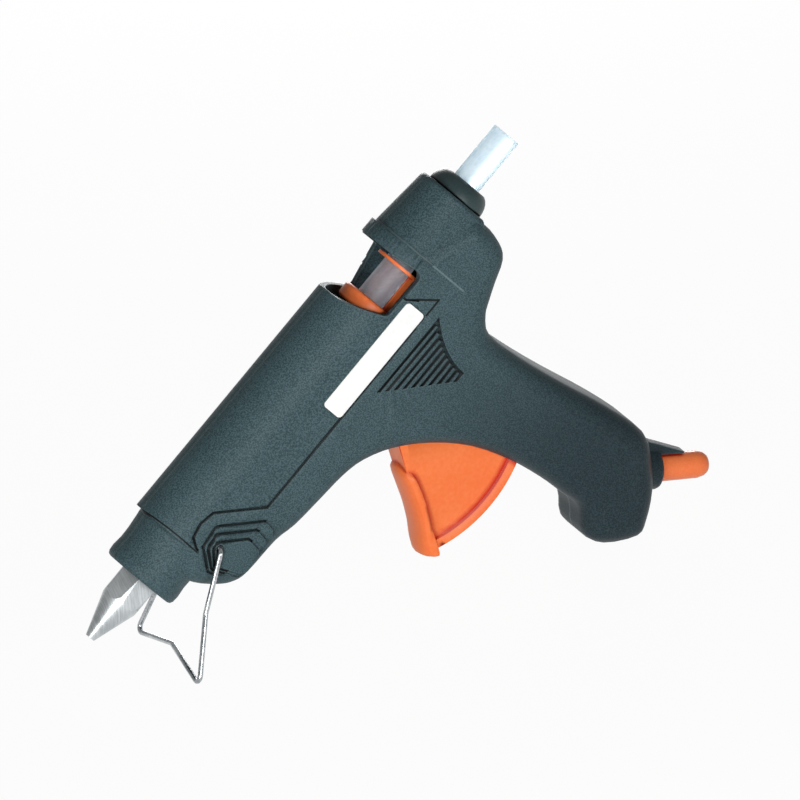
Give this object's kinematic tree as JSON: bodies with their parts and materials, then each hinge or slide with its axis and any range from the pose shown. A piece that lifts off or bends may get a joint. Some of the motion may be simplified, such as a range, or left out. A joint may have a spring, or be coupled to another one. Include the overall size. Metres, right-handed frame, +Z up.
{
  "type": "hot glue applicator",
  "caption": "Hand-held trigger-fed hot glue applicator standing nose down on its fold-out wire stand and butt, with a glue stick loaded.",
  "frame": {"origin": "on the floor, under the middle of the part's length, between the two halves", "axes": "+X towards the butt and cord gland, +Y to the side away from the label, +Z up"},
  "size_m": [0.252, 0.0574, 0.1715],
  "materials": {
    "housing": "fine textured",
    "dark_trim": "satin",
    "orange": "satin",
    "orange_soft": "satin",
    "nozzle_metal": "turned",
    "cast_alloy": "cast",
    "ceramic": "matt",
    "bush": "matt",
    "silicone": "matt",
    "steel": "bright",
    "chrome_wire": "bright",
    "glue": "clear",
    "block": "satin",
    "lead": "matt",
    "label": "matt"
  },
  "bodies": {
    "housing": {"left_shell": "housing", "right_shell": "housing", "nozzle": "nozzle_metal", "melt_chamber": "cast_alloy", "heater_element": "ceramic", "front_bush": "bush", "rear_bush": "bush", "feed_sleeve": "silicone", "sleeve_ring": "steel", "return_spring": "steel", "trigger_pin": "steel", "rear_guide": "dark_trim", "cord_gland": "orange_soft", "cord_clamp": "dark_trim", "clamp_screws": "steel", "terminal_block": "block", "heater_leads": "lead", "housing_screws": "steel", "label": "label"},
    "trigger": {"trigger": "orange", "drive_pin": "steel"},
    "carriage": {"carriage": "orange", "stick_gripper": "steel"},
    "stick": {"glue_stick": "glue"},
    "stand": {"wire_stand": "chrome_wire"}
  },
  "joints": [
    {"name": "trigger_pull", "type": "hinge", "parent": "housing", "child": "trigger", "pos_m": [0.00056, 0, 0.07056], "axis": [0, -1, 0], "range_deg": [0, 20], "stiffness_Nm_per_rad": 0.4, "springref_deg": -17.19},
    {"name": "carriage_feed", "type": "slide", "parent": "housing", "child": "carriage", "axis": [-0.7803, 0, -0.6254], "range_m": [0, 0.00805], "deforming": ["return_spring"]},
    {"name": "stick_draw", "type": "slide", "parent": "carriage", "child": "stick", "axis": [0.7803, 0, 0.6254], "range_m": [0, 0.12]},
    {"name": "stand_fold", "type": "hinge", "parent": "housing", "child": "stand", "pos_m": [-0.07679, 0, 0.0465], "axis": [0, -1, 0], "range_deg": [0, 112]}
  ],
  "couplings": [
    {"joint": "carriage_feed", "follows": "trigger_pull", "m_per_rad": 0.023}
  ]
}
